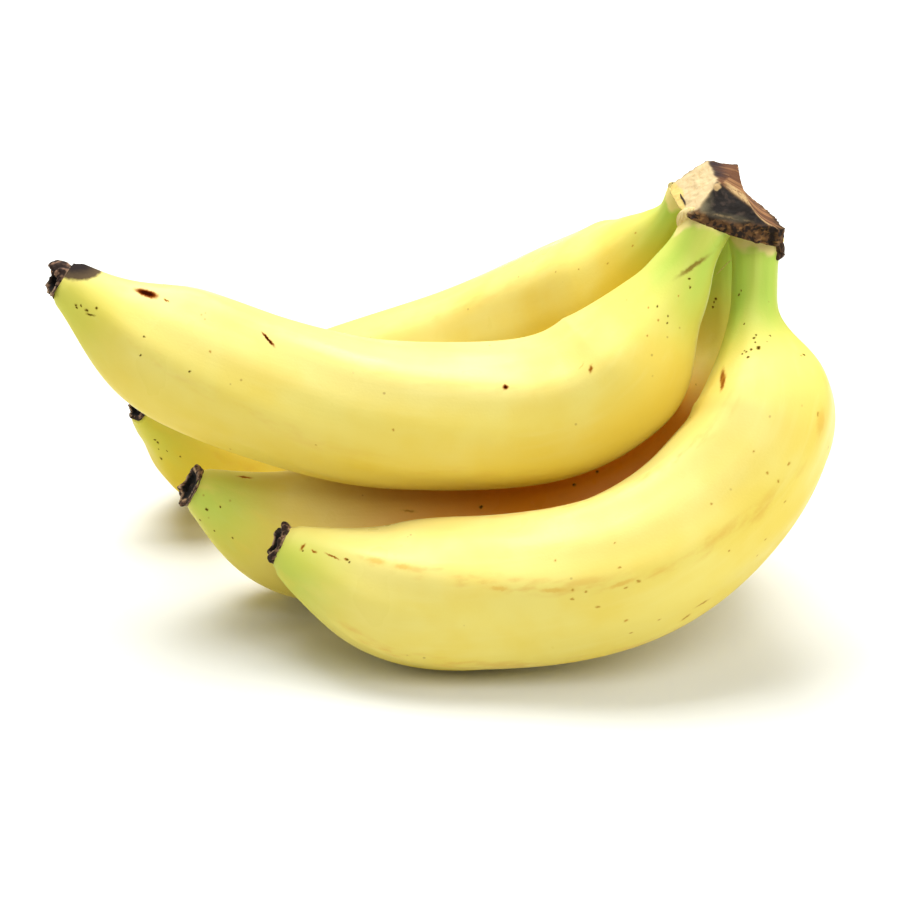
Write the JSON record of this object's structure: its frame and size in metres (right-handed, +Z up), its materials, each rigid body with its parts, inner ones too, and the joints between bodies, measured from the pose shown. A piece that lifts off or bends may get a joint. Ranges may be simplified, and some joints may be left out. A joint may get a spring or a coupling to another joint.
{
  "type": "bunch of bananas",
  "caption": "Bunch of ripe curved bananas joined by their stalks at one dried, cut crown, lying on its lower fingers with another resting across the top.",
  "frame": {"origin": "on the table, under the middle of the bunch's bounding box", "axes": "+X towards the crown, along the longest extent, +Y away from the picture's viewer, +Z up from the table"},
  "size_m": [0.1949, 0.153, 0.111],
  "materials": {
    "peel": "waxy yellow peel, green towards the stalks, with brown freckles",
    "blossom": "dry, wrinkled, dark brown",
    "crown": "dried cut and torn plant fibre, dark brown with one pale cream face"
  },
  "bodies": {
    "root": {"finger_upper": "peel", "finger_back": "peel", "finger_front": "peel", "finger_middle": "peel", "blossom_end_upper": "blossom", "blossom_end_back": "blossom", "blossom_end_front": "blossom", "blossom_end_middle": "blossom", "crown": "crown"}
  },
  "joints": []
}
